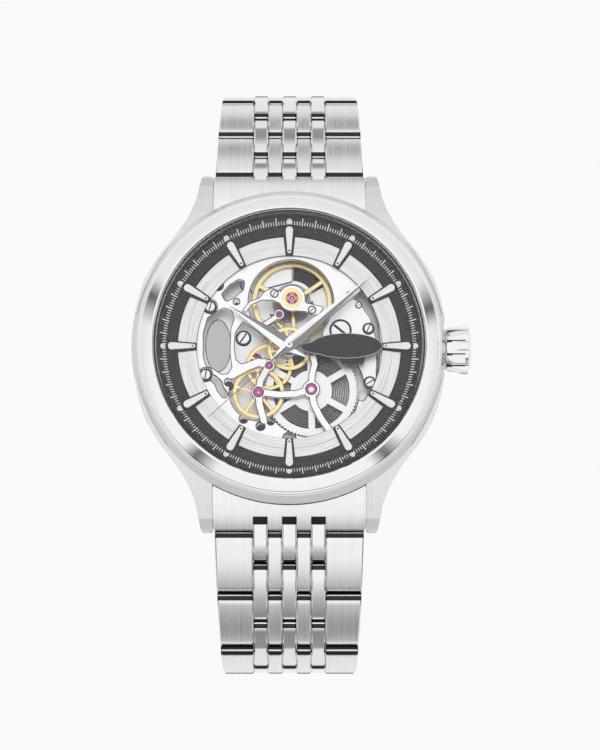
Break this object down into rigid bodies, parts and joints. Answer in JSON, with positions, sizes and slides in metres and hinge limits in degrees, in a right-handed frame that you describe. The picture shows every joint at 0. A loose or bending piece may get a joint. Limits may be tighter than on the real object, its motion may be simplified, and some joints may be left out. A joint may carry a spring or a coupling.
{
  "type": "skeleton wristwatch",
  "caption": "Skeleton wristwatch: round steel case, see-through dial with jewelled going train and lance hands, fluted crown, jointed bracelet closed on a folding clasp.",
  "frame": {"origin": "the clasp cover's flat outer face, directly under the axis of the hands", "axes": "+Z out of the dial, +Y towards 12 o'clock, +X towards 3 o'clock and the crown"},
  "size_m": [0.0441, 0.0789, 0.0436],
  "materials": {
    "brushed_steel": "lengthwise brushed stainless steel",
    "polished_steel": "mirror polished stainless steel",
    "case_steel": "fine brushed and polished stainless steel",
    "crystal_glass": "clear sapphire, coated",
    "flange_black": "matt black lacquer",
    "dial_silver": "circular brushed silver",
    "plate_silver": "fine grained, bright rhodium",
    "bridge_silver": "fine grained, bright rhodium",
    "gilt_brass": "gilt",
    "train_steel": "brushed wheel steel",
    "spring_steel": "dark oiled spring steel",
    "ruby": "synthetic ruby, polished",
    "screw_steel": "polished screw heads",
    "hand_steel": "faceted, brushed and polished",
    "marker_steel": "bevelled, brushed top",
    "plaque_grey": "satin anthracite",
    "gasket_rubber": "black nitrile"
  },
  "bodies": {
    "head": {"case_body": "case_steel", "bezel": "polished_steel", "crystal": "crystal_glass", "caseback": "brushed_steel", "caseback_crystal": "crystal_glass", "case_gaskets": "gasket_rubber", "chapter_ring": "flange_black", "dial_ring": "dial_silver", "hour_markers": "marker_steel", "dial_plaque": "plaque_grey", "front_plate": "plate_silver", "balance_bridge": "bridge_silver", "train_bridge": "bridge_silver", "back_plate": "plate_silver", "jewels": "ruby", "movement_screws": "screw_steel", "hairspring": "spring_steel", "crown_tube": "brushed_steel", "end_links": "brushed_steel"},
    "barrel_body": {"barrel": "train_steel", "mainspring": "spring_steel"},
    "second_body": {"second_wheel": "gilt_brass"},
    "third_body": {"third_wheel": "gilt_brass"},
    "seconds_body": {"fourth_wheel": "gilt_brass", "seconds_hand": "hand_steel"},
    "minute_body": {"minute_hand": "hand_steel"},
    "hour_body": {"hour_hand": "hand_steel"},
    "escape_body": {"escape_wheel": "gilt_brass"},
    "fork_body": {"pallet_fork": "ruby"},
    "balance_body": {"balance_wheel": "gilt_brass"},
    "stem_slide_body": {"stem_collar": "polished_steel"},
    "crown_body": {"crown": "polished_steel", "winding_stem": "polished_steel"},
    "clasp_body": {"clasp_cover": "brushed_steel"},
    "middle_blade_body": {"clasp_middle_blade": "polished_steel"},
    "inner_blade_body": {"clasp_inner_blade": "polished_steel"},
    "button_right_body": {"clasp_button_right": "polished_steel"},
    "button_left_body": {"clasp_button_left": "polished_steel"},
    "link_12_polished_1_body": {"link_12_polished_1": "polished_steel"},
    "link_12_brushed_1_body": {"link_12_brushed_1": "brushed_steel"},
    "link_12_polished_2_body": {"link_12_polished_2": "polished_steel"},
    "link_12_brushed_2_body": {"link_12_brushed_2": "brushed_steel"},
    "link_12_polished_3_body": {"link_12_polished_3": "polished_steel"},
    "link_12_brushed_3_body": {"link_12_brushed_3": "brushed_steel"},
    "link_12_polished_4_body": {"link_12_polished_4": "polished_steel"},
    "link_12_brushed_4_body": {"link_12_brushed_4": "brushed_steel"},
    "link_12_polished_5_body": {"link_12_polished_5": "polished_steel"},
    "link_12_brushed_5_body": {"link_12_brushed_5": "brushed_steel"},
    "link_12_polished_6_body": {"link_12_polished_6": "polished_steel"},
    "link_6_polished_1_body": {"link_6_polished_1": "polished_steel"},
    "link_6_brushed_1_body": {"link_6_brushed_1": "brushed_steel"},
    "link_6_polished_2_body": {"link_6_polished_2": "polished_steel"},
    "link_6_brushed_2_body": {"link_6_brushed_2": "brushed_steel"},
    "link_6_polished_3_body": {"link_6_polished_3": "polished_steel"},
    "link_6_brushed_3_body": {"link_6_brushed_3": "brushed_steel"},
    "link_6_polished_4_body": {"link_6_polished_4": "polished_steel"},
    "link_6_brushed_4_body": {"link_6_brushed_4": "brushed_steel"},
    "link_6_polished_5_body": {"link_6_polished_5": "polished_steel"},
    "link_6_brushed_5_body": {"link_6_brushed_5": "brushed_steel"},
    "link_6_polished_6_body": {"link_6_polished_6": "polished_steel"}
  },
  "joints": [
    {"name": "seconds_turn", "type": "hinge", "parent": "head", "child": "seconds_body", "pos_m": [0, 0, 0.03812], "axis": [0, 0, -1], "continuous": true},
    {"name": "minute_turn", "type": "hinge", "parent": "head", "child": "minute_body", "pos_m": [0, 0, 0.04102], "axis": [0, 0, -1], "continuous": true},
    {"name": "hour_turn", "type": "hinge", "parent": "head", "child": "hour_body", "pos_m": [0, 0, 0.04062], "axis": [0, 0, -1], "continuous": true},
    {"name": "second_wheel_turn", "type": "hinge", "parent": "head", "child": "second_body", "pos_m": [-0.00401, -0.00587, 0.03822], "axis": [0, 0, -1], "continuous": true},
    {"name": "third_wheel_turn", "type": "hinge", "parent": "head", "child": "third_body", "pos_m": [-0.00263, -0.00236, 0.03782], "axis": [0, 0, -1], "continuous": true},
    {"name": "barrel_turn", "type": "hinge", "parent": "head", "child": "barrel_body", "pos_m": [0.00284, -0.00548, 0.03742], "axis": [0, 0, -1], "continuous": true},
    {"name": "escape_turn", "type": "hinge", "parent": "head", "child": "escape_body", "pos_m": [-0.00216, 0.00235, 0.03752], "axis": [0, 0, -1], "continuous": true},
    {"name": "fork_swing", "type": "hinge", "parent": "head", "child": "fork_body", "pos_m": [-0.00132, 0.00435, 0.03742], "axis": [0, 0, -1], "range_deg": [-3, 3]},
    {"name": "balance_swing", "type": "hinge", "parent": "head", "child": "balance_body", "pos_m": [0.00035, 0.0064, 0.03672], "axis": [0, 0, -1], "range_deg": [-150, 150], "stiffness_Nm_per_rad": 0.00000045},
    {"name": "crown_pull", "type": "slide", "parent": "head", "child": "stem_slide_body", "axis": [1, 0, 0], "range_m": [0, 0.0012]},
    {"name": "crown_turn", "type": "hinge", "parent": "stem_slide_body", "child": "crown_body", "pos_m": [0.02, 0, 0.03722], "axis": [1, 0, 0], "continuous": true},
    {"name": "hinge_12_01", "type": "hinge", "parent": "head", "child": "link_12_polished_1_body", "pos_m": [0, 0.02245, 0.03397], "axis": [1, 0, 0], "range_deg": [0, 10]},
    {"name": "hinge_12_02", "type": "hinge", "parent": "link_12_polished_1_body", "child": "link_12_brushed_1_body", "pos_m": [0, 0.02479, 0.03186], "axis": [1, 0, 0], "range_deg": [0, 10]},
    {"name": "hinge_12_03", "type": "hinge", "parent": "link_12_brushed_1_body", "child": "link_12_polished_2_body", "pos_m": [0, 0.02808, 0.02879], "axis": [1, 0, 0], "range_deg": [0, 10]},
    {"name": "hinge_12_04", "type": "hinge", "parent": "link_12_polished_2_body", "child": "link_12_brushed_2_body", "pos_m": [0, 0.03126, 0.02561], "axis": [1, 0, 0], "range_deg": [0, 10]},
    {"name": "hinge_12_05", "type": "hinge", "parent": "link_12_brushed_2_body", "child": "link_12_polished_3_body", "pos_m": [0, 0.03416, 0.02216], "axis": [1, 0, 0], "range_deg": [0, 10]},
    {"name": "hinge_12_06", "type": "hinge", "parent": "link_12_polished_3_body", "child": "link_12_brushed_3_body", "pos_m": [0, 0.03627, 0.01819], "axis": [1, 0, 0], "range_deg": [0, 10]},
    {"name": "hinge_12_07", "type": "hinge", "parent": "link_12_brushed_3_body", "child": "link_12_polished_4_body", "pos_m": [0, 0.0372, 0.01379], "axis": [1, 0, 0], "range_deg": [0, 10]},
    {"name": "hinge_12_08", "type": "hinge", "parent": "link_12_polished_4_body", "child": "link_12_brushed_4_body", "pos_m": [0, 0.03627, 0.00939], "axis": [1, 0, 0], "range_deg": [0, 10]},
    {"name": "hinge_12_09", "type": "hinge", "parent": "link_12_brushed_4_body", "child": "link_12_polished_5_body", "pos_m": [0, 0.03344, 0.00589], "axis": [1, 0, 0], "range_deg": [0, 10]},
    {"name": "hinge_12_10", "type": "hinge", "parent": "link_12_polished_5_body", "child": "link_12_brushed_5_body", "pos_m": [0, 0.02958, 0.00357], "axis": [1, 0, 0], "range_deg": [0, 10]},
    {"name": "hinge_12_11", "type": "hinge", "parent": "link_12_brushed_5_body", "child": "link_12_polished_6_body", "pos_m": [0, 0.0253, 0.00218], "axis": [1, 0, 0], "range_deg": [0, 10]},
    {"name": "hinge_12_12_clasp", "type": "hinge", "parent": "link_12_polished_6_body", "child": "clasp_body", "pos_m": [0, 0.02084, 0.00156], "axis": [1, 0, 0], "range_deg": [0, 10]},
    {"name": "hinge_6_01", "type": "hinge", "parent": "head", "child": "link_6_polished_1_body", "pos_m": [0, -0.02245, 0.03397], "axis": [-1, 0, 0], "range_deg": [0, 10]},
    {"name": "hinge_6_02", "type": "hinge", "parent": "link_6_polished_1_body", "child": "link_6_brushed_1_body", "pos_m": [0, -0.02509, 0.03225], "axis": [-1, 0, 0], "range_deg": [0, 10]},
    {"name": "hinge_6_03", "type": "hinge", "parent": "link_6_brushed_1_body", "child": "link_6_polished_2_body", "pos_m": [0, -0.02882, 0.02974], "axis": [-1, 0, 0], "range_deg": [0, 10]},
    {"name": "hinge_6_04", "type": "hinge", "parent": "link_6_polished_2_body", "child": "link_6_brushed_2_body", "pos_m": [0, -0.03227, 0.02685], "axis": [-1, 0, 0], "range_deg": [0, 10]},
    {"name": "hinge_6_05", "type": "hinge", "parent": "link_6_brushed_2_body", "child": "link_6_polished_3_body", "pos_m": [0, -0.03528, 0.0235], "axis": [-1, 0, 0], "range_deg": [0, 10]},
    {"name": "hinge_6_06", "type": "hinge", "parent": "link_6_polished_3_body", "child": "link_6_brushed_3_body", "pos_m": [0, -0.03773, 0.01973], "axis": [-1, 0, 0], "range_deg": [0, 10]},
    {"name": "hinge_6_07", "type": "hinge", "parent": "link_6_brushed_3_body", "child": "link_6_polished_4_body", "pos_m": [0, -0.03867, 0.01533], "axis": [-1, 0, 0], "range_deg": [0, 10]},
    {"name": "hinge_6_08", "type": "hinge", "parent": "link_6_polished_4_body", "child": "link_6_brushed_4_body", "pos_m": [0, -0.03835, 0.01084], "axis": [-1, 0, 0], "range_deg": [0, 10]},
    {"name": "hinge_6_09", "type": "hinge", "parent": "link_6_brushed_4_body", "child": "link_6_polished_5_body", "pos_m": [0, -0.03652, 0.00673], "axis": [-1, 0, 0], "range_deg": [0, 10]},
    {"name": "hinge_6_10", "type": "hinge", "parent": "link_6_polished_5_body", "child": "link_6_brushed_5_body", "pos_m": [0, -0.03318, 0.00371], "axis": [-1, 0, 0], "range_deg": [0, 10]},
    {"name": "hinge_6_11", "type": "hinge", "parent": "link_6_brushed_5_body", "child": "link_6_polished_6_body", "pos_m": [0, -0.02895, 0.00218], "axis": [-1, 0, 0], "range_deg": [0, 10]},
    {"name": "clasp_fold_middle", "type": "hinge", "parent": "clasp_body", "child": "middle_blade_body", "pos_m": [0, -0.0175, 0.0018], "axis": [1, 0, 0], "range_deg": [0, 25]},
    {"name": "clasp_fold_inner", "type": "hinge", "parent": "middle_blade_body", "child": "inner_blade_body", "pos_m": [0, 0.014, 0.00265], "axis": [-1, 0, 0], "range_deg": [0, 30]},
    {"name": "button_right_press", "type": "slide", "parent": "clasp_body", "child": "button_right_body", "axis": [-1, 0, 0], "range_m": [0, 0.0005], "stiffness_N_per_m": 400, "springref_m": -0.0005},
    {"name": "button_left_press", "type": "slide", "parent": "clasp_body", "child": "button_left_body", "axis": [1, 0, 0], "range_m": [0, 0.0005], "stiffness_N_per_m": 400, "springref_m": -0.0005}
  ],
  "couplings": [
    {"joint": "minute_turn", "follows": "seconds_turn", "ratio": 0.016667},
    {"joint": "hour_turn", "follows": "seconds_turn", "ratio": 0.0013889},
    {"joint": "second_wheel_turn", "follows": "seconds_turn", "ratio": 0.016667},
    {"joint": "third_wheel_turn", "follows": "seconds_turn", "ratio": -0.15625},
    {"joint": "barrel_turn", "follows": "seconds_turn", "ratio": -0.0020833},
    {"joint": "escape_turn", "follows": "seconds_turn", "ratio": -10}
  ]
}
